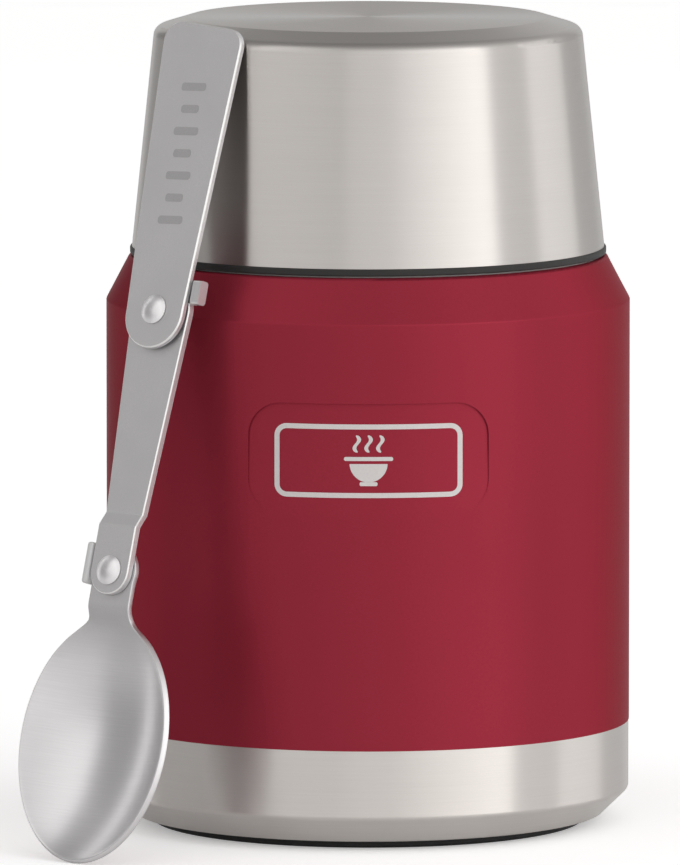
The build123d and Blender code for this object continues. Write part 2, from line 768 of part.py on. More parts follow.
with BuildPart() as spoon_bowl:
    revolve(spheroid_half(cap_radius), axis=spin_axis)
    split(bisect_by=rim_plane, keep=Keep.BOTTOM)
    with BuildSketch(side_plane.offset(-bowl_half_width)):
        with BuildLine():
            Polyline(
                (neck_top_end, -plate_thickness),
                (-neck_flat, -plate_thickness),
                (-neck_drop_end, -neck_drop - plate_thickness),
                (flare_end, flare_end_depth - plate_thickness),
                (flare_end, flare_end_depth),
                (-neck_drop_end, -neck_drop),
                (-neck_flat, 0),
                (neck_top_end, 0),
                close=True,
            )
        make_face()
    extrude(amount=2 * bowl_half_width)
    with BuildSketch(neck_plane.offset(-bowl_reach)) as outline:
        with Locations((0, -neck_drop_end + oval_middle * cos(tilt))):
            Ellipse(bowl_half_width + oval_margin, bowl_half_length + oval_margin)
        with Locations((0, -neck_drop_end / 2)):
            Rectangle(2 * neck_half, neck_drop_end)
        fillet(outline.vertices().sort_by(Axis.Y)[-4:-2], neck_flare)
        Circle(neck_end_radius)
        with Locations(tab_middle):
            Rectangle(neck_tab_width, neck_tab_length)
    extrude(amount=2 * bowl_reach, mode=Mode.INTERSECT)
    revolve(spheroid_half(cap_radius - bowl_thickness), axis=spin_axis, mode=Mode.SUBTRACT)
    with BuildSketch(neck_plane.offset(-plate_thickness)):
        with Locations(tab_middle):
            RectangleRounded(neck_tab_width, neck_tab_length, neck_tab_round)
    extrude(amount=plate_thickness + neck_tab_height)
    with BuildSketch(neck_plane.offset(-2 * plate_thickness)):
        Circle(rivet_radius)
    extrude(amount=3 * plate_thickness, mode=Mode.SUBTRACT)
spoon_bowl.part.label = "spoon_bowl"
export_step(spoon_bowl.part, "parts/spoon_bowl.step")


# ---- folding spoon: rivets ----
def rivet_profile(plane, front, back):
    """Half section of a domed rivet that holds plates between two heights on its axis."""
    head_seat = front + rivet_head_gap
    tail_seat = back - rivet_tail_gap
    dome_top = (0, head_seat + rivet_head_height)
    head_corner = (rivet_head_radius, head_seat + rivet_edge)
    with BuildSketch(Plane(origin=plane.origin, x_dir=plane.x_dir, z_dir=-plane.y_dir)) as half:
        with BuildLine():
            Polyline(
                dome_top,
                (0, tail_seat - rivet_tail_height),
                (rivet_tail_radius - rivet_tail_bevel, tail_seat - rivet_tail_height),
                (rivet_tail_radius, tail_seat - rivet_edge),
                (rivet_tail_radius, tail_seat),
                (rivet_radius, tail_seat),
                (rivet_radius, head_seat),
                (rivet_head_radius, head_seat),
                head_corner,
            )
            TangentArc(dome_top, head_corner, tangent=(1, 0))
        make_face()
    return half.sketch


with BuildPart() as handle_rivet:
    half = rivet_profile(handle_plane, handle_gap + plate_thickness, -plate_thickness)
    revolve(half, axis=Axis(handle_plane.origin, handle_plane.z_dir))
handle_rivet.part.label = "handle_rivet"
export_step(handle_rivet.part, "parts/handle_rivet.step")

with BuildPart() as bowl_rivet:
    half = rivet_profile(neck_plane, low_front, -plate_thickness)
    revolve(half, axis=Axis(neck_plane.origin, neck_plane.z_dir))
bowl_rivet.part.label = "bowl_rivet"
export_step(bowl_rivet.part, "parts/bowl_rivet.step")

print("bowl_pivot", tuple(bowl_pivot), "axis", tuple(plate_normal))
print("handle_pivot", tuple(handle_pivot), "axis", tuple(handle_normal))
print("foot_line", tuple(foot_line), "axis", tuple(across))
print("lip", lip_top, "ceiling", bowl_ceiling - bowl_wall, "cover top", cover_top, "brim", brim_radius)
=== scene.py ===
"""Looks for an insulated food jar with a cup lid, a screw stopper and a folding spoon."""

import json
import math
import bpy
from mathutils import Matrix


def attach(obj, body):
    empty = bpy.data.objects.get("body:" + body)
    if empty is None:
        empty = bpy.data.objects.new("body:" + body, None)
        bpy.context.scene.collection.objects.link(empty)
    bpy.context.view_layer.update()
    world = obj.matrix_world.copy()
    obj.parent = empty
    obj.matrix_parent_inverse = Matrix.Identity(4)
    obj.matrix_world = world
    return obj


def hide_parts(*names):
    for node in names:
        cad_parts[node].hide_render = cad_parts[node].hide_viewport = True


bl_info = {
    "name": "Insulated Food Jar",
    "version": (1, 0, 0),
    "blender": (4, 5, 0),
    "location": "View3D > Sidebar > Food Jar",
    "description": "Finishes, front mark, spoon bowl and studio stage for a packed food jar",
    "category": "Object",
}

import bmesh
import bpy
from bpy.props import FloatProperty, FloatVectorProperty, IntProperty, PointerProperty
from bpy.types import Operator, Panel, PropertyGroup
from mathutils import Matrix, Vector

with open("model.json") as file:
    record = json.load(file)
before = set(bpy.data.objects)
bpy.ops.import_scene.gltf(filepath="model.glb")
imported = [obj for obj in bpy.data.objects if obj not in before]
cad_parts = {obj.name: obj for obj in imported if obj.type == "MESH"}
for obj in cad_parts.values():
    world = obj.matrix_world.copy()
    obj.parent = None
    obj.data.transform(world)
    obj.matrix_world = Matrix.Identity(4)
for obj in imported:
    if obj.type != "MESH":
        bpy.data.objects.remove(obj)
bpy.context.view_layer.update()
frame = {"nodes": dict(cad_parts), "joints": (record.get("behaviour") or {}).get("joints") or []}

# Colours of the parts that have no setting of their own
FOOT_RUBBER = (0.018, 0.018, 0.018)
SEAL_SILICONE = (0.5, 0.5, 0.49)
STOPPER_PLASTIC = (0.035, 0.035, 0.037)
COVER_PLASTIC = (0.04, 0.04, 0.042)
STOPPER_FOAM = (0.8, 0.77, 0.68)
FOIL_COLOUR = (0.8, 0.55, 0.42)
GETTER_COLOUR = (0.13, 0.13, 0.135)
SOLDER_COLOUR = (0.5, 0.5, 0.48)

# Lightness of some steel parts against the colour in the settings
# The base cup is painted lighter than the lid's steel, standing in for the brighter reflections it catches.
BASE_PAINTED_LIGHT = 1.16
INSIDE_TONE = 1.05
# The rivets are painted lighter than the plates so that their highlight reads brighter.
RIVET_PAINTED_SHINE = 1.25
# The bowl's hollow is lighter than the plates: partly its satin finish, partly painted light for the brighter
# reflections in it.
SPOON_BOWL_SATIN_AND_PAINTED_TONE = 1.16

# Noise scales of the surfaces, in cycles a metre
COAT_GRAIN = 2600
BLASTED_GRIT = 4200


# ---- places that come from the frame ----
def joint(name):
    """A joint's record by its name."""
    return next(j for j in frame["joints"] if j["name"] == name)


def plate_frame(pivot, normal):
    """Matrix of a spoon plate: X across it, Y up along it and Z out of its front."""
    across = Vector(joint("spoon_lean")["axis"]).normalized()
    normal = Vector(normal).normalized()
    up = normal.cross(across).normalized()
    turned = Matrix((across, up, normal)).transposed().to_4x4()
    return Matrix.Translation(Vector(pivot)) @ turned


NECK_FRAME = plate_frame(joint("bowl_fold")["pos_m"], -Vector(joint("bowl_fold")["axis"]))
HANDLE_FRAME = plate_frame(joint("handle_fold")["pos_m"], joint("handle_fold")["axis"])


# ---- settings ----
def length_setting(name, description, default, **limits):
    """A length in metres."""
    return FloatProperty(
        name=name, description=description, subtype="DISTANCE", unit="LENGTH", default=default, **limits
    )


def colour_setting(name, description, default):
    """A colour of three parts."""
    return FloatVectorProperty(
        name=name, description=description, subtype="COLOR", size=3, min=0, max=1, default=default
    )


def gloss_setting(name, description, default):
    """A roughness from 0 to 1."""
    return FloatProperty(name=name, description=description, subtype="FACTOR", min=0, max=1, default=default)


class JarFinishes(PropertyGroup):
    """Colours and surface qualities of the jar's materials."""

    coat_colour: colour_setting("Coat", "Colour of the powder coat", (0.345, 0.032, 0.054))
    coat_roughness: gloss_setting("Coat roughness", "Gloss of the powder coat", 0.36)
    steel_colour: colour_setting("Brushed steel", "Colour of the brushed shells", (0.6, 0.57, 0.546))
    steel_roughness: gloss_setting("Steel roughness", "Gloss of the brushed shells", 0.295)
    streak_width: length_setting(
        "Streak width", "Distance between brushing streaks", 0.00022, min=0.00005, max=0.002
    )
    spoon_colour: colour_setting("Spoon steel", "Colour of the spoon", (0.662, 0.649, 0.656))
    plastic_colour: colour_setting("Black plastic", "Colour of the lid's ring", (0.022, 0.022, 0.021))
    print_colour: colour_setting("Print", "Colour of the mark's ink", (0.78, 0.74, 0.73))


class FrontMark(PropertyGroup):
    """Sizes of the plain mark printed in the pressed panel."""

    width: length_setting("Width", "Width of the outline", 0.0336)
    height: length_setting("Height", "Height of the outline", 0.0132)
    middle: length_setting("Middle", "Height of the mark's centre", 0.0709)
    line: length_setting("Line", "Width of the printed lines", 0.0009)
    film: length_setting("Film", "Height of the ink on the coat", 0.00004)


class SpoonShape(PropertyGroup):
    """Sizes of the spoon's bowl and the number of etched bars on its handle."""

    half_width: length_setting("Half width", "Half the bowl's width", 0.0163)
    half_length: length_setting("Half length", "Half the bowl's length", 0.02163)
    middle: length_setting("Middle", "Rivet to the bowl's middle", 0.03043)
    depth: length_setting("Depth", "Depth of the hollow", 0.0050)
    sheet: length_setting("Sheet", "Thickness of the sheet at the rim", 0.0011)
    bars: IntProperty(name="Bars", description="Etched bars on the handle", min=1, max=12, default=7)


class StudioStage(PropertyGroup):
    """Camera and floor."""

    camera_distance: length_setting("Distance", "Camera to the jar's axis", 2.8)
    camera_height: length_setting("Height", "Camera above the floor", 0.392)
    camera_aside: length_setting("Aside", "Camera to the side of the axis", -0.0051)
    camera_drop: FloatProperty(
        name="Drop", description="How far the camera looks down", subtype="ANGLE", default=math.radians(6.547)
    )
    lens: FloatProperty(name="Lens", description="Focal length in millimetres", default=821.4)
    floor_size: length_setting("Floor", "Side of the floor", 12.0)


# ---- modelling helpers ----
def deselect():
    """Leave edit mode and clear the selection."""
    if bpy.context.object and bpy.context.object.mode != "OBJECT":
        bpy.ops.object.mode_set(mode="OBJECT")
    bpy.ops.object.select_all(action="DESELECT")


def focus(piece):
    """Select one piece alone and make it active."""
    deselect()
    piece.select_set(True)
    bpy.context.view_layer.objects.active = piece


def edit_all():
    """Edit the active piece with all of it selected."""
    bpy.ops.object.mode_set(mode="EDIT")
    bpy.ops.mesh.select_all(action="SELECT")


def stop_editing():
    """Leave edit mode."""
    bpy.ops.object.mode_set(mode="OBJECT")


def name_new(name):
    """Name the object just added, and its mesh."""
    piece = bpy.context.object
    piece.name = name
    piece.data.name = name
    return piece


def settle(piece, matrix=None):
    """Put a piece's place into its mesh, so that its object sits at the origin."""
    focus(piece)
    if matrix is not None:
        piece.matrix_world = matrix @ piece.matrix_world
        bpy.context.view_layer.update()
    bpy.ops.object.transform_apply(location=True, rotation=True, scale=True)
    return piece


def apply_modifier(piece, kind, name, **settings):
    """Add a modifier, set it and apply it."""
    focus(piece)
    modifier = piece.modifiers.new(name, kind)
    for key, value in settings.items():
        setattr(modifier, key, value)
    bpy.ops.object.modifier_apply(modifier=modifier.name)


def join(name, pieces):
    """Join pieces into one mesh with a name."""
    deselect()
    for piece in pieces:
        piece.select_set(True)
    bpy.context.view_layer.objects.active = pieces[0]
    bpy.ops.object.join()
    return name_new(name)


def smooth(piece, angle):
    """Smooth shading with sharp edges above an angle in degrees."""
    focus(piece)
    bpy.ops.object.shade_smooth_by_angle(angle=math.radians(angle))


def flat_bar(name, width, height, rounding, segments=6):
    """A flat rounded rectangle round the origin, facing +Z."""
    deselect()
    bpy.ops.mesh.primitive_plane_add(size=1)
    piece = name_new(name)
    piece.scale = (width, height, 1)
    bpy.ops.object.transform_apply(location=False, rotation=False, scale=True)
    edit_all()
    bpy.ops.mesh.bevel(affect="VERTICES", offset=rounding, segments=segments)
    stop_editing()
    return piece


def cut_in_strips(piece, spacing):
    """Cut a flat piece across X, so that it can follow a round wall."""
    reach = max(abs(vertex.co.x) for vertex in piece.data.vertices)
    steps = int(reach / spacing)
    focus(piece)
    edit_all()
    for step in range(-steps, steps + 1):
        bpy.ops.mesh.select_all(action="SELECT")
        bpy.ops.mesh.bisect(plane_co=(step * spacing, 0, 0), plane_no=(1, 0, 0))
    stop_editing()


# ---- material helpers ----
def new_material(name):
    """A material with one principled shader."""
    material = bpy.data.materials.new(name)
    material.use_nodes = True
    tree = material.node_tree
    tree.nodes.clear()
    output = tree.nodes.new("ShaderNodeOutputMaterial")
    shader = tree.nodes.new("ShaderNodeBsdfPrincipled")
    tree.links.new(shader.outputs["BSDF"], output.inputs["Surface"])
    return material, tree, shader


def plug(tree, socket, value):
    """Link a socket into an input, or set the input to a value."""
    if isinstance(value, bpy.types.NodeSocket):
        tree.links.new(value, socket)
    else:
        socket.default_value = value


def sums(tree, operation, *values):
    """A Math node's result."""
    node = tree.nodes.new("ShaderNodeMath")
    node.operation = operation
    for socket, value in zip(node.inputs, values):
        plug(tree, socket, value)
    return node.outputs[0]


def object_place(tree):
    """Object coordinates."""
    return tree.nodes.new("ShaderNodeTexCoord").outputs["Object"]


def along(tree, place, direction):
    """How far a place lies along a direction."""
    node = tree.nodes.new("ShaderNodeVectorMath")
    node.operation = "DOT_PRODUCT"
    tree.links.new(place, node.inputs[0])
    node.inputs[1].default_value = direction
    return node.outputs["Value"]


def gathered(tree, x, y, z):
    """A vector from three numbers."""
    node = tree.nodes.new("ShaderNodeCombineXYZ")
    for socket, value in zip(node.inputs, (x, y, z)):
        plug(tree, socket, value)
    return node.outputs[0]


def noise(tree, place, scale, detail=2.0, roughness=0.5):
    """A noise texture's value."""
    node = tree.nodes.new("ShaderNodeTexNoise")
    tree.links.new(place, node.inputs["Vector"])
    node.inputs["Scale"].default_value = scale
    node.inputs["Detail"].default_value = detail
    node.inputs["Roughness"].default_value = roughness
    return node.outputs["Fac"]


def spread(tree, value, low, high, source=(0.3, 0.7)):
    """A value mapped from one range to another."""
    node = tree.nodes.new("ShaderNodeMapRange")
    tree.links.new(value, node.inputs["Value"])
    node.inputs["From Min"].default_value = source[0]
    node.inputs["From Max"].default_value = source[1]
    node.inputs["To Min"].default_value = low
    node.inputs["To Max"].default_value = high
    return node.outputs["Result"]


def mixed(tree, factor, first, second):
    """Two colours mixed by a factor."""
    node = tree.nodes.new("ShaderNodeMix")
    node.data_type = "RGBA"
    plug(tree, node.inputs["Factor"], factor)
    for socket, value in ((node.inputs["A"], first), (node.inputs["B"], second)):
        plug(tree, socket, value if isinstance(value, bpy.types.NodeSocket) else (*value, 1))
    return node.outputs["Result"]


def relief(tree, shader, height, strength, distance):
    """Fine relief on a surface."""
    node = tree.nodes.new("ShaderNodeBump")
    node.inputs["Strength"].default_value = strength
    node.inputs["Distance"].default_value = distance
    tree.links.new(height, node.inputs["Height"])
    tree.links.new(node.outputs["Normal"], shader.inputs["Normal"])


def shade(colour, factor):
    """A colour made lighter or darker."""
    return tuple(min(1.0, part * factor) for part in colour)


def tinted(tree, value, colour, low, high):
    """A colour that goes from one shade of itself to another with a noise value."""
    return mixed(tree, spread(tree, value, 0, 1), shade(colour, low), shade(colour, high))


# ---- materials ----
def powder_coat(colour, roughness):
    """Satin powder coat with a fine orange-peel grain."""
    material, tree, shader = new_material("powder_coat")
    place = object_place(tree)
    cloud = noise(tree, place, 30, 3)
    grain = noise(tree, place, COAT_GRAIN)
    tone = tinted(tree, cloud, colour, 0.96, 1.04)
    speckle = mixed(tree, spread(tree, grain, 0, 1), shade(colour, 0.94), tone)
    tree.links.new(speckle, shader.inputs["Base Color"])
    tree.links.new(spread(tree, grain, roughness - 0.03, roughness + 0.05), shader.inputs["Roughness"])
    shader.inputs["Metallic"].default_value = 0.45
    shader.inputs["Specular IOR Level"].default_value = 0.06
    shader.inputs["Specular Tint"].default_value = (0.5, 0.08, 0.12, 1)
    relief(tree, shader, grain, 0.25, 0.00002)
    return material


def turned_streaks(tree, place, streak_width, length_scale):
    """Streaks that run round the jar's axis on its sides and round the centre on its flat faces."""
    parts = tree.nodes.new("ShaderNodeSeparateXYZ")
    tree.links.new(place, parts.inputs[0])
    x, y, z = parts.outputs
    squares = sums(tree, "ADD", sums(tree, "MULTIPLY", x, x), sums(tree, "MULTIPLY", y, y))
    radius = sums(tree, "SQRT", squares)
    safe = sums(tree, "MAXIMUM", radius, 0.0004)  # never zero, for the divisions
    # This grows along every wall and flat face, as none rises 1.8 times as fast as it widens
    profile = sums(tree, "SUBTRACT", z, sums(tree, "MULTIPLY", radius, 1.8))
    east = sums(tree, "MULTIPLY", sums(tree, "DIVIDE", x, safe), length_scale)
    north = sums(tree, "MULTIPLY", sums(tree, "DIVIDE", y, safe), length_scale)
    rows = sums(tree, "MULTIPLY", profile, 1 / streak_width)
    return noise(tree, gathered(tree, east, north, rows), 1.0, 3, 0.6)


def brushed_steel(name, colour, roughness, streak_width, anisotropy=0.85, length_scale=2.4, contrast=0.45):
    """Steel brushed round the jar's axis."""
    material, tree, shader = new_material(name)
    place = object_place(tree)
    fine = turned_streaks(tree, place, streak_width, length_scale)
    broad = turned_streaks(tree, place, streak_width * 5, length_scale * 0.7)
    both = sums(tree, "ADD", sums(tree, "MULTIPLY", fine, 0.8), sums(tree, "MULTIPLY", broad, 0.2))
    tone = tinted(tree, both, colour, 1 - 0.055 * contrast, 1 + 0.045 * contrast)
    tree.links.new(tone, shader.inputs["Base Color"])
    shader.inputs["Metallic"].default_value = 1.0
    tree.links.new(spread(tree, both, roughness + 0.012, roughness - 0.012), shader.inputs["Roughness"])
    shader.inputs["Anisotropic"].default_value = anisotropy
    shader.inputs["Anisotropic Rotation"].default_value = 0.25
    tangent = tree.nodes.new("ShaderNodeTangent")
    tangent.direction_type = "RADIAL"
    tangent.axis = "Z"
    tree.links.new(tangent.outputs[0], shader.inputs["Tangent"])
    relief(tree, shader, both, 0.04, 0.000004)
    return material


def edge_shares(tree, normal, plate):
    """How far a place counts as the plate's cut side, bevelled edge and bent part, from its normal; the edge
    and bend shares mask painted highlights.
    """
    facing = sums(tree, "ABSOLUTE", along(tree, normal, plate.col[2].xyz))
    side = spread(tree, facing, 1, 0, (0.74, 0.84))
    painted_edge_highlight = sums(tree, "MULTIPLY", side, spread(tree, facing, 0, 1, (0.25, 0.5)))
    return side, painted_edge_highlight, spread(tree, facing, 0, 1, (0.98, 0.93))


def blasted_steel(name, colour, plate, roughness=0.54):
    """Bead-blasted spoon plate with satin cut sides, painted lighter as if lit, and painted highlights on its
    bevelled edges and bends.
    """
    material, tree, shader = new_material(name)
    coords = tree.nodes.new("ShaderNodeTexCoord")
    place, normal = coords.outputs["Object"], coords.outputs["Normal"]
    grit = noise(tree, place, BLASTED_GRIT)
    cloud = noise(tree, place, 90, 2)
    side, painted_edge_highlight, bent = edge_shares(tree, normal, plate)
    face_tone = tinted(tree, cloud, colour, 0.96, 1.03)
    gritty = mixed(tree, spread(tree, grit, 0, 1), shade(colour, 0.93), face_tone)
    # Painted highlight: the bent parts are made lighter to stand in for the light they catch.
    painted_bend_highlight = mixed(tree, bent, gritty, shade(colour, 1.16))
    # Painted light: the cut sides are made lighter as if lit; their lower metallic and smoother roughness
    # below are their real satin finish.
    cut = mixed(tree, side, painted_bend_highlight, shade(colour, 1.15))
    # Painted highlight: the bevelled edges are mixed to near white.
    tree.links.new(mixed(tree, painted_edge_highlight, cut, (1.0, 0.99, 0.98)), shader.inputs["Base Color"])
    tree.links.new(spread(tree, side, 1.0, 0.7, (0, 1)), shader.inputs["Metallic"])
    matte = spread(tree, grit, roughness - 0.04, roughness + 0.04)
    smoother = sums(tree, "MULTIPLY", side, 0.16)
    tree.links.new(sums(tree, "SUBTRACT", matte, smoother), shader.inputs["Roughness"])
    relief(tree, shader, grit, 0.2, 0.00002)
    return material


def spoon_bowl_steel(colour, plate):
    """Satin hollow with fine lines across it, which turns into the blasted face of the neck."""
    material, tree, shader = new_material("spoon_bowl_steel")
    place = object_place(tree)
    across = along(tree, place, plate.col[0].xyz)
    up = along(tree, place, plate.col[1].xyz)
    lines = gathered(tree, sums(tree, "MULTIPLY", across, 90), sums(tree, "MULTIPLY", up, 3600), 0.0)
    streak = noise(tree, lines, 1.0, 3, 0.6)
    grit = noise(tree, place, BLASTED_GRIT)
    rivet_up = plate.translation.dot(plate.col[1].xyz)
    neck = spread(tree, up, 0, 1, (rivet_up - 0.0165, rivet_up - 0.0085))
    satin = tinted(tree, streak, colour, 0.97, 1.03)
    blasted = tinted(tree, grit, colour, 0.8, 0.84)
    tree.links.new(mixed(tree, neck, satin, blasted), shader.inputs["Base Color"])
    shader.inputs["Metallic"].default_value = 1.0
    smoothest = spread(tree, streak, 0.3, 0.28)
    rougher = sums(tree, "MULTIPLY", neck, 0.26)
    tree.links.new(sums(tree, "ADD", smoothest, rougher), shader.inputs["Roughness"])
    return material


def rim_steel(colour, plate):
    """Softly polished cut edge of the spoon's bowl, with a painted highlight on its bevels."""
    material, tree, shader = new_material("spoon_rim_steel")
    coords = tree.nodes.new("ShaderNodeTexCoord")
    grit = noise(tree, coords.outputs["Object"], 3000, 2)
    tone = tinted(tree, grit, colour, 0.97, 1.03)
    painted_edge_highlight = edge_shares(tree, coords.outputs["Normal"], plate)[1]
    # Painted highlight: the rim's bevels are made lighter than the rest of the rim.
    tree.links.new(mixed(tree, painted_edge_highlight, tone, shade(colour, 1.3)), shader.inputs["Base Color"])
    shader.inputs["Metallic"].default_value = 0.8
    tree.links.new(spread(tree, grit, 0.36, 0.42), shader.inputs["Roughness"])
    return material


def moulded_plastic(name, colour, roughness, grain_scale=1800):
    """Matte moulded plastic or rubber with a fine texture."""
    material, tree, shader = new_material(name)
    place = object_place(tree)
    grain = noise(tree, place, grain_scale, 2)
    cloud = noise(tree, place, 60, 2)
    tone = tinted(tree, cloud, colour, 0.9, 1.12)
    tree.links.new(tone, shader.inputs["Base Color"])
    tree.links.new(spread(tree, grain, roughness - 0.05, roughness + 0.06), shader.inputs["Roughness"])
    shader.inputs["Specular IOR Level"].default_value = 0.4
    relief(tree, shader, grain, 0.3, 0.00003)
    return material


def thin_foil(colour):
    """Bright crinkled foil."""
    material, tree, shader = new_material("thin_foil")
    place = object_place(tree)
    crinkle = noise(tree, place, 260, 4, 0.6)
    tone = tinted(tree, crinkle, colour, 0.9, 1.08)
    tree.links.new(tone, shader.inputs["Base Color"])
    shader.inputs["Metallic"].default_value = 1.0
    tree.links.new(spread(tree, crinkle, 0.16, 0.3), shader.inputs["Roughness"])
    relief(tree, shader, crinkle, 0.5, 0.0002)
    return material


def cell_foam(colour):
    """Closed-cell foam."""
    material, tree, shader = new_material("cell_foam")
    place = object_place(tree)
    cells = tree.nodes.new("ShaderNodeTexVoronoi")
    tree.links.new(place, cells.inputs["Vector"])
    cells.inputs["Scale"].default_value = 900
    size = cells.outputs["Distance"]
    tone = mixed(tree, spread(tree, size, 0, 1, (0, 0.8)), shade(colour, 0.86), shade(colour, 1.04))
    tree.links.new(tone, shader.inputs["Base Color"])
    shader.inputs["Roughness"].default_value = 0.9
    relief(tree, shader, size, 0.4, 0.0004)
    return material


def printed_ink(colour):
    """Screen-printed ink that lets a little of the grain below through."""
    material, tree, shader = new_material("printed_ink")
    place = object_place(tree)
    grain = noise(tree, place, COAT_GRAIN)
    tone = tinted(tree, grain, colour, 0.95, 1.0)
    tree.links.new(tone, shader.inputs["Base Color"])
    tree.links.new(spread(tree, grain, 0.42, 0.52), shader.inputs["Roughness"])
    relief(tree, shader, grain, 0.2, 0.00002)
    return material


def etched_steel(colour):
    """Darker, rougher steel of the etched bars."""
    material, tree, shader = new_material("etched_steel")
    place = object_place(tree)
    grit = noise(tree, place, 5200, 3)
    tone = tinted(tree, grit, colour, 0.72, 0.86)
    tree.links.new(tone, shader.inputs["Base Color"])
    shader.inputs["Metallic"].default_value = 1.0
    tree.links.new(spread(tree, grit, 0.58, 0.7), shader.inputs["Roughness"])
    relief(tree, shader, grit, 0.3, 0.00002)
    return material


def dress(node, material):
    """Give a carried-over node its material."""
    piece = frame["nodes"][node]
    if not piece.material_slots:
        piece.data.materials.append(material)
    for slot in piece.material_slots:
        slot.material = material


# ---- operators ----
class FOODJAR_OT_jar_finishes(Operator):
    """Finish the jar's coat, steel base, foot, inner vessel and vacuum parts."""

    bl_idname = "foodjar.jar_finishes"
    bl_label = "Finish the Jar"

    def execute(self, context):
        looks = context.scene.foodjar_finishes
        steel, rough, streak = looks.steel_colour, looks.steel_roughness, looks.streak_width
        satin = brushed_steel("vessel_satin", shade(steel, INSIDE_TONE), rough + 0.05, streak, 0.5)
        dress("outer_casing", powder_coat(looks.coat_colour, looks.coat_roughness))
        dress("base_cup", brushed_steel("base_steel", shade(steel, BASE_PAINTED_LIGHT), rough, streak))
        dress("foot_pad", moulded_plastic("foot_rubber", FOOT_RUBBER, 0.62))
        dress("inner_vessel", satin)
        dress("vacuum_base_plate", satin)
        dress("reflective_foil", thin_foil(FOIL_COLOUR))
        dress("getter", moulded_plastic("getter_pellet", GETTER_COLOUR, 0.6, 3000))
        dress("vacuum_seal", brushed_steel("seal_solder", SOLDER_COLOUR, 0.4, streak, 0.1))
        return {"FINISHED"}


class FOODJAR_OT_lid_finishes(Operator):
    """Finish the lid's shell, inner bowl, threaded ring and seal."""

    bl_idname = "foodjar.lid_finishes"
    bl_label = "Finish the Lid"

    def execute(self, context):
        looks = context.scene.foodjar_finishes
        steel, rough, streak = looks.steel_colour, looks.steel_roughness, looks.streak_width
        dress("lid_shell", brushed_steel("lid_steel", steel, rough, streak))
        dress("lid_bowl", brushed_steel("bowl_steel", shade(steel, INSIDE_TONE), rough + 0.04, streak, 0.5))
        dress("lid_thread_ring", moulded_plastic("ring_plastic", looks.plastic_colour, 0.5))
        dress("lid_seal", moulded_plastic("seal_silicone", SEAL_SILICONE, 0.45, 900))
        return {"FINISHED"}


class FOODJAR_OT_stopper_finishes(Operator):
    """Finish the stopper's plug, foam, cover and gasket."""

    bl_idname = "foodjar.stopper_finishes"
    bl_label = "Finish the Stopper"

    def execute(self, context):
        dress("stopper_body", moulded_plastic("stopper_plastic", STOPPER_PLASTIC, 0.5))
        dress("stopper_cover", moulded_plastic("cover_plastic", COVER_PLASTIC, 0.46))
        dress("stopper_foam", cell_foam(STOPPER_FOAM))
        dress("stopper_seal", moulded_plastic("gasket_silicone", SEAL_SILICONE, 0.45, 900))
        return {"FINISHED"}


class FOODJAR_OT_front_mark(Operator):
    """Print a plain outline with a bowl and steam in the pressed panel."""

    bl_idname = "foodjar.front_mark"
    bl_label = "Front Mark"

    bowl_radius = 0.0034
    rim_width = 0.0088
    foot_width = 0.0032
    steam_height = 0.0031
    steam_spacing = 0.0021
    steam_wave = 0.00042

    def outline(self, mark):
        """A rounded outline of one line width."""
        piece = flat_bar("mark_outline", mark.width, mark.height, 0.0022, 8)
        edit_all()
        bpy.ops.mesh.inset(thickness=mark.line)
        bpy.ops.mesh.delete(type="FACE")
        stop_editing()
        return piece

    def bowl(self, mark):
        """A half-round bowl with a rim and a foot."""
        deselect()
        bpy.ops.mesh.primitive_circle_add(vertices=64, radius=self.bowl_radius, fill_type="NGON")
        half = name_new("mark_bowl")
        edit_all()
        bpy.ops.mesh.bisect(plane_co=(0, -0.0001, 0), plane_no=(0, 1, 0), clear_outer=True)
        stop_editing()
        rim = flat_bar("mark_rim", self.rim_width, mark.line * 0.8, mark.line * 0.38)
        foot = flat_bar("mark_foot", self.foot_width, mark.line * 0.8, mark.line * 0.3)
        for piece, up in ((half, -0.0004), (rim, 0.0004), (foot, -0.0041)):
            piece.location.y = up
            settle(piece)
        return [half, rim, foot]

    def steam(self, mark, aside):
        """One wavy stroke of steam."""
        height = self.steam_height
        stroke = flat_bar("mark_steam", mark.line * 0.78, height, mark.line * 0.37)
        edit_all()
        for step in range(1, 16):
            bpy.ops.mesh.select_all(action="SELECT")
            cut = height * (step / 16 - 0.5)
            bpy.ops.mesh.bisect(plane_co=(0, cut, 0), plane_no=(0, 1, 0))
        stop_editing()
        for vertex in stroke.data.vertices:
            vertex.co.x += self.steam_wave * math.sin(vertex.co.y / height * 2 * math.pi)
        stroke.location = (aside, 0.0031, 0)
        return settle(stroke)

    def execute(self, context):
        mark = context.scene.foodjar_mark
        pieces = [self.outline(mark), *self.bowl(mark)]
        pieces += [self.steam(mark, step * self.steam_spacing) for step in (-1, 0, 1)]
        printed = join("front_mark", pieces)
        cut_in_strips(printed, 0.0008)
        upright = Matrix.Translation((0, -0.06, mark.middle)) @ Matrix.Rotation(math.pi / 2, 4, "X")
        settle(printed, upright)
        apply_modifier(
            printed, "SHRINKWRAP", "follow wall", target=frame["nodes"]["outer_casing"],
            wrap_method="PROJECT", wrap_mode="ABOVE_SURFACE", use_project_y=True,
            use_positive_direction=True, use_negative_direction=True, offset=mark.film,
        )
        printed.data.materials.append(printed_ink(context.scene.foodjar_finishes.print_colour))
        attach(printed, "jar")
        return {"FINISHED"}


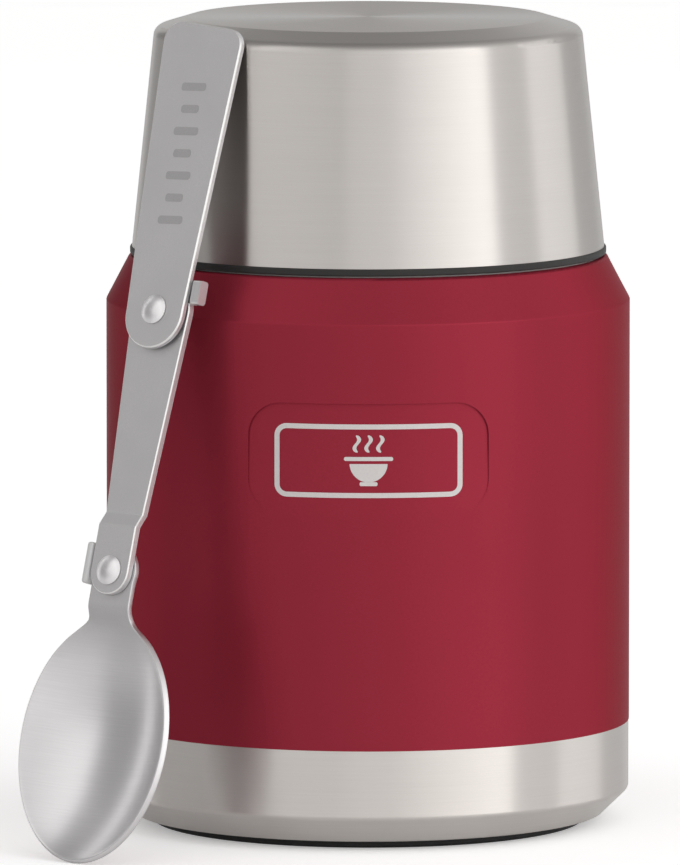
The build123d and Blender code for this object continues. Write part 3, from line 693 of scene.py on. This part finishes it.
class FOODJAR_OT_spoon(Operator):
    """Finish the spoon's plates and rivets, form its bowl and etch its handle."""

    bl_idname = "foodjar.spoon"
    bl_label = "Folding Spoon"

    # Lengths on the neck plate are measured up from the lower rivet, in metres
    rivet_end = 0.0049  # radius of the plate's end round the rivet
    neck_half = 0.00465
    neck_blend = 0.0042  # how softly the oval runs into the neck
    flat_end = -0.0062
    drop_end = -0.0098
    drop = 0.0015
    rim_slope = math.tan(math.radians(1.1))
    oval_end = -0.0141
    neck_start = -0.0133
    spine_low, spine_high = -0.043, -0.001  # ends of the line that the sheet's rings close on
    rings = 14

    # On the handle plate, up from the upper rivet
    handle_skew = math.radians(2.2)
    handle_front = (0.45 + 1.3) * 0.001  # gap between the plates and the handle's thickness
    first_bar, bar_spacing = 0.0165, 0.0041
    long_bar, short_bar = 0.0056, 0.0040
    bar_height, bar_rounding, bar_film = 0.0015, 0.00055, 0.00002

    def half_width(self, shape, up):
        """Half the outline's width at a distance up from the lower rivet."""
        share = (up + shape.middle) / shape.half_length
        oval = shape.half_width * math.sqrt(max(0.0, 1 - share * share))
        close = max(self.neck_blend - abs(oval - self.neck_half), 0) / self.neck_blend
        return max(oval, self.neck_half) + close * close * self.neck_blend / 4

    def outline(self, shape):
        """Points of the right half of the outline, from the tip to the top."""
        points = []
        for step in range(45):
            angle = math.radians(-90 + step * 3.4)
            up = shape.half_length * math.sin(angle) - shape.middle
            if up > self.oval_end:
                break
            points.append((shape.half_width * math.cos(angle), up))
        lowest_neck = -math.sqrt(self.rivet_end**2 - self.neck_half**2)
        for step in range(15):
            up = self.neck_start + (lowest_neck - self.neck_start) * step / 14
            points.append((self.half_width(shape, up), up))
        start = math.asin(lowest_neck / self.rivet_end)
        for step in range(1, 13):
            angle = start + (math.pi / 2 - start) * step / 12
            points.append((self.rivet_end * math.cos(angle), self.rivet_end * math.sin(angle)))
        return points

    def front_height(self, shape, right, up):
        """Height of the sheet's front face over the neck plate's front face."""
        share = min(1.0, max(0.0, (self.flat_end - up) / (self.flat_end - self.drop_end)))
        height = -self.drop * share * share * (3 - 2 * share)
        height -= self.rim_slope * max(0.0, self.drop_end - up)
        squared = (right / shape.half_width) ** 2 + ((up + shape.middle) / shape.half_length) ** 2
        if squared < 1:
            ball = (shape.half_width**2 + shape.depth**2) / (2 * shape.depth)
            height -= math.sqrt(ball**2 - squared * shape.half_width**2) - ball + shape.depth
        return height

    def bowl_sheet(self, shape):
        """The bowl and its neck as one sheet, in rings that close on its middle line."""
        right_half = self.outline(shape)
        loop = right_half + [(-x, y) for x, y in reversed(right_half[1:-1])]
        deselect()
        bpy.ops.mesh.primitive_circle_add(vertices=len(loop), radius=0.02, fill_type="NOTHING")
        sheet = name_new("spoon_bowl_sheet")
        for vertex, place in zip(sheet.data.vertices, loop):
            vertex.co = (place[0], place[1], 0)
        spine = [(0.0, min(self.spine_high, max(self.spine_low, y))) for x, y in loop]
        bpy.ops.object.mode_set(mode="EDIT")
        for ring in range(1, self.rings + 1):
            bpy.ops.mesh.extrude_edges_move()
            edit = bmesh.from_edit_mesh(sheet.data)
            edit.verts.ensure_lookup_table()
            share = (ring / self.rings) ** 0.9
            for vertex, place, middle in zip([v for v in edit.verts if v.select], loop, spine):
                vertex.co.x = place[0] + (middle[0] - place[0]) * share
                vertex.co.y = place[1] + (middle[1] - place[1]) * share
            bmesh.update_edit_mesh(sheet.data)
        bpy.ops.mesh.select_all(action="SELECT")
        bpy.ops.mesh.remove_doubles(threshold=0.00002)
        bpy.ops.mesh.normals_make_consistent(inside=False)
        stop_editing()
        for vertex in sheet.data.vertices:
            vertex.co.z = self.front_height(shape, vertex.co.x, vertex.co.y)
        if sum(face.normal.z for face in sheet.data.polygons) < 0:
            focus(sheet)
            edit_all()
            bpy.ops.mesh.flip_normals()
            stop_editing()
        return sheet

    def block(self, name, size, place, edge, segments):
        """A small block with rounded edges, by its size and its centre."""
        deselect()
        bpy.ops.mesh.primitive_cube_add(size=1)
        piece = name_new(name)
        piece.scale = size
        piece.location = place
        settle(piece)
        apply_modifier(piece, "BEVEL", "round", width=edge, segments=segments, limit_method="NONE")
        return piece

    def stop_tab(self):
        """The small tab bent forward at the neck's left side, and its root in the plate."""
        tab = self.block("spoon_stop_tab", (0.0013, 0.0075, 0.0028), (-0.0054, 0.00105, 0.0001), 0.0005, 4)
        root = self.block("spoon_tab_root", (0.0016, 0.0066, 0.0011), (-0.0046, 0.00105, -0.00065), 0.0002, 2)
        return [tab, root]

    def etched_bars(self, shape):
        """A row of plain etched bars along the handle, long and short in turn."""
        bars = []
        for step in range(shape.bars):
            width = self.long_bar if step % 2 == 0 else self.short_bar
            bar = flat_bar("etched_bar", width, self.bar_height, self.bar_rounding)
            bar.location = (0, self.first_bar + step * self.bar_spacing, self.handle_front + self.bar_film)
            bars.append(settle(bar))
        row = join("handle_etching", bars)
        return settle(row, HANDLE_FRAME @ Matrix.Rotation(self.handle_skew, 4, "Z"))

    def execute(self, context):
        shape, steel = context.scene.foodjar_spoon, context.scene.foodjar_finishes.spoon_colour
        plate_steel = blasted_steel("spoon_plate_steel", steel, NECK_FRAME)
        rivet_steel = blasted_steel("rivet_steel", shade(steel, RIVET_PAINTED_SHINE), NECK_FRAME, 0.33)
        dress("spoon_handle", blasted_steel("spoon_handle_steel", steel, HANDLE_FRAME))
        dress("spoon_link", plate_steel)
        dress("handle_rivet", rivet_steel)
        dress("bowl_rivet", rivet_steel)
        dress("spoon_bowl", plate_steel)

        sheet = self.bowl_sheet(shape)
        apply_modifier(
            sheet, "SUBSURF", "smooth", levels=1, render_levels=1, boundary_smooth="PRESERVE_CORNERS"
        )
        sheet.data.materials.append(spoon_bowl_steel(shade(steel, SPOON_BOWL_SATIN_AND_PAINTED_TONE), NECK_FRAME))
        sheet.data.materials.append(rim_steel(steel, NECK_FRAME))
        apply_modifier(
            sheet, "SOLIDIFY", "sheet", thickness=shape.sheet, offset=-1, use_even_offset=True,
            use_quality_normals=True, material_offset_rim=1,
        )
        apply_modifier(
            sheet, "BEVEL", "rim", width=0.00022, segments=3, limit_method="ANGLE",
            angle_limit=math.radians(50), material=1,
        )
        bowl = join("spoon_bowl_form", [sheet, *self.stop_tab()])
        smooth(bowl, 40)
        settle(bowl, NECK_FRAME)
        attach(bowl, "bowl")
        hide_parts("spoon_bowl")

        etching = self.etched_bars(shape)
        etching.data.materials.append(etched_steel(steel))
        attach(etching, "handle")
        return {"FINISHED"}


class FOODJAR_OT_stage(Operator):
    """Add the pale floor, the studio lights, the white surround and the camera."""

    bl_idname = "foodjar.stage"
    bl_label = "Studio Stage"

    # Name, azimuth from the front, distance, width, height, glow at both sides, height over the floor
    key_card = ("soft_box", 37, 1.3, 1.44, 1.1, (0.98, 2.12), 0.0)
    mirror_cards = (
        ("bounce_card", -41.5, 1.5, 1.75, 2.2, (1.2, 0.68), 0.3),
        ("back_strip", -116, 1.5, 0.26, 1.6, (1.15, 1.15), 0.0),
        ("back_card", 178, 1.5, 1.3, 1.0, (0.53, 0.53), 0.0),
        ("low_card", -90, 1.2, 0.9, 0.7, (0.33, 0.33), 0.0),
    )
    # Name, azimuth from the front, elevation, distance, width, height, watts, whether it mirrors
    lamps = (
        ("rim_light", 108, 8, 1.5, 0.85, 1.2, 1.55, True),
        ("side_fill", 75, 4, 1.4, 1.0, 1.0, 3.2, False),
    )
    aim = Vector((0, 0, 0.07))  # middle of the jar
    painted_shadow_reach = 0.06  # the floor's soft shadow goes this far from the object
    bright_side = (0.5, -0.866, 0.0)  # the front, a little to the right

    def floor(self, stage):
        """A pale floor: white with a soft shadow to the camera, satin in reflections."""
        deselect()
        bpy.ops.mesh.primitive_plane_add(size=stage.floor_size)
        floor = name_new("studio_floor")
        material, tree, shader = new_material("studio_floor")
        path = tree.nodes.new("ShaderNodeLightPath")
        seen = sums(tree, "MAXIMUM", path.outputs["Is Camera Ray"], path.outputs["Is Transmission Ray"])
        shader.inputs["Base Color"].default_value = (0.92, 0.92, 0.92, 1)
        shader.inputs["Roughness"].default_value = 0.9
        shader.inputs["Specular IOR Level"].default_value = 0.1
        shader.inputs["Emission Color"].default_value = (1, 1, 1, 1)
        # Painted shadow: the glow that the camera sees is dimmed near the object by ambient occlusion, on top
        # of the real soft shadow.
        painted_shadow_occlusion = tree.nodes.new("ShaderNodeAmbientOcclusion")
        painted_shadow_occlusion.samples = 8
        painted_shadow_occlusion.inputs["Distance"].default_value = self.painted_shadow_reach
        glow_with_painted_shadow = spread(tree, painted_shadow_occlusion.outputs["AO"], 0.3, 0.525, (0, 1))
        tree.links.new(sums(tree, "MULTIPLY", seen, glow_with_painted_shadow), shader.inputs["Emission Strength"])
        sheen = tree.nodes.new("ShaderNodeBsdfPrincipled")
        sheen.inputs["Base Color"].default_value = (0.8, 0.8, 0.8, 1)
        sheen.inputs["Roughness"].default_value = 0.12
        sheen.inputs["Specular IOR Level"].default_value = 0.9
        sheen.inputs["Emission Color"].default_value = (1, 1, 1, 1)
        sheen.inputs["Emission Strength"].default_value = 0.12
        mix = tree.nodes.new("ShaderNodeMixShader")
        tree.links.new(path.outputs["Is Glossy Ray"], mix.inputs[0])
        tree.links.new(shader.outputs["BSDF"], mix.inputs[1])
        tree.links.new(sheen.outputs["BSDF"], mix.inputs[2])
        tree.links.new(mix.outputs[0], tree.nodes["Material Output"].inputs["Surface"])
        floor.data.materials.append(material)

    def surround(self):
        """White to the camera, brighter from the front right and dim overhead in reflections."""
        world = bpy.data.worlds.new("studio_surround")
        bpy.context.scene.world = world
        world.use_nodes = True
        tree = world.node_tree
        tree.nodes.clear()
        output = tree.nodes.new("ShaderNodeOutputWorld")
        path = tree.nodes.new("ShaderNodeLightPath")
        seen = sums(tree, "MAXIMUM", path.outputs["Is Camera Ray"], path.outputs["Is Transmission Ray"])
        direction = tree.nodes.new("ShaderNodeTexCoord").outputs["Generated"]
        front = spread(tree, along(tree, direction, self.bright_side), 0.26, 1.09, (-1, 1))
        overhead = spread(tree, along(tree, direction, (0.0, 0.0, 1.0)), 1.0, 0.42, (0.5, 0.95))
        mirrored = sums(tree, "MULTIPLY", path.outputs["Is Glossy Ray"], overhead)
        matt = spread(tree, path.outputs["Is Glossy Ray"], 0.75, 0.0, (0, 1))
        softer = sums(tree, "ADD", mirrored, matt)
        white = tree.nodes.new("ShaderNodeBackground")
        white.inputs["Color"].default_value = (1, 1, 1, 1)
        lighting = tree.nodes.new("ShaderNodeBackground")
        lighting.inputs["Color"].default_value = (1, 0.995, 0.99, 1)
        tree.links.new(sums(tree, "MULTIPLY", front, softer), lighting.inputs["Strength"])
        mix = tree.nodes.new("ShaderNodeMixShader")
        tree.links.new(seen, mix.inputs[0])
        tree.links.new(lighting.outputs[0], mix.inputs[1])
        tree.links.new(white.outputs[0], mix.inputs[2])
        tree.links.new(mix.outputs[0], output.inputs["Surface"])

    def card(self, name, azimuth, distance, width, height, glow, lift):
        """An upright studio card that faces the jar, unseen by the camera."""
        turn = math.radians(azimuth)
        deselect()
        bpy.ops.mesh.primitive_plane_add(size=1, rotation=(math.pi / 2, 0, turn))
        card = name_new(name)
        card.scale = (width, height, 1)
        card.location = (math.sin(turn) * distance, -math.cos(turn) * distance, lift + height / 2)
        card.visible_camera = False
        material, tree, shader = new_material(name)
        across = tree.nodes.new("ShaderNodeSeparateXYZ")
        tree.links.new(tree.nodes.new("ShaderNodeUVMap").outputs[0], across.inputs[0])
        shader.inputs["Base Color"].default_value = (0, 0, 0, 1)
        shader.inputs["Emission Color"].default_value = (1, 0.995, 0.985, 1)
        tree.links.new(spread(tree, across.outputs[0], *glow, (0.0, 1.0)), shader.inputs["Emission Strength"])
        card.data.materials.append(material)
        return card

    def lamp(self, name, azimuth, elevation, distance, width, height, watts, glossy):
        """A soft lamp that faces the jar, by its direction from the front."""
        turn, rise = math.radians(azimuth), math.radians(elevation)
        flat = math.cos(rise) * distance
        offset = Vector((math.sin(turn) * flat, -math.cos(turn) * flat, math.sin(rise) * distance))
        data = bpy.data.lights.new(name, "AREA")
        data.shape = "RECTANGLE"
        data.size, data.size_y, data.energy = width, height, watts
        lamp = bpy.data.objects.new(name, data)
        bpy.context.scene.collection.objects.link(lamp)
        lamp.location = self.aim + offset
        lamp.rotation_euler = (-offset).to_track_quat("-Z", "Y").to_euler()
        lamp.visible_camera = False
        lamp.visible_glossy = glossy

    def camera(self, stage):
        """The camera, looking along +Y and a little down."""
        data = bpy.data.cameras.new("camera")
        data.sensor_fit = "HORIZONTAL"
        data.sensor_width = 36
        data.lens = stage.lens
        data.clip_start, data.clip_end = 0.05, 50
        camera = bpy.data.objects.new("camera", data)
        bpy.context.scene.collection.objects.link(camera)
        camera.location = (stage.camera_aside, -stage.camera_distance, stage.camera_height)
        camera.rotation_euler = (math.pi / 2 - stage.camera_drop, 0, 0)
        bpy.context.scene.camera = camera

    def execute(self, context):
        stage = context.scene.foodjar_stage
        self.floor(stage)
        self.surround()
        self.card(*self.key_card)
        for settings in self.mirror_cards:
            card = self.card(*settings)
            card.visible_diffuse = False
            card.visible_shadow = False
        for settings in self.lamps:
            self.lamp(*settings)
        self.camera(stage)
        context.scene.view_settings.view_transform = "Standard"
        return {"FINISHED"}


class FOODJAR_PT_panel(Panel):
    """Lists the jar's steps and settings."""

    bl_idname = "FOODJAR_PT_panel"
    bl_label = "Insulated Food Jar"
    bl_space_type = "VIEW_3D"
    bl_region_type = "UI"
    bl_category = "Food Jar"

    def draw(self, context):
        for step in STEPS:
            self.layout.operator(step.bl_idname)
        for name in GROUPS:
            group = getattr(context.scene, name)
            box = self.layout.box()
            for key in group.bl_rna.properties.keys():
                if key not in {"rna_type", "name"}:
                    box.prop(group, key)


STEPS = (
    FOODJAR_OT_jar_finishes,
    FOODJAR_OT_lid_finishes,
    FOODJAR_OT_stopper_finishes,
    FOODJAR_OT_front_mark,
    FOODJAR_OT_spoon,
    FOODJAR_OT_stage,
)
GROUPS = {
    "foodjar_finishes": JarFinishes,
    "foodjar_mark": FrontMark,
    "foodjar_spoon": SpoonShape,
    "foodjar_stage": StudioStage,
}


def register():
    """Register the settings, the steps and the panel."""
    for name, group in GROUPS.items():
        bpy.utils.register_class(group)
        setattr(bpy.types.Scene, name, PointerProperty(type=group))
    for step in (*STEPS, FOODJAR_PT_panel):
        bpy.utils.register_class(step)


def unregister():
    """Take back what register added."""
    for step in reversed((*STEPS, FOODJAR_PT_panel)):
        bpy.utils.unregister_class(step)
    for name, group in reversed(GROUPS.items()):
        delattr(bpy.types.Scene, name)
        bpy.utils.unregister_class(group)


def main():
    """Register and run every step in order."""
    register()
    bpy.ops.foodjar.jar_finishes()
    bpy.ops.foodjar.lid_finishes()
    bpy.ops.foodjar.stopper_finishes()
    bpy.ops.foodjar.front_mark()
    bpy.ops.foodjar.spoon()
    bpy.ops.foodjar.stage()


if __name__ == "__main__":
    main()
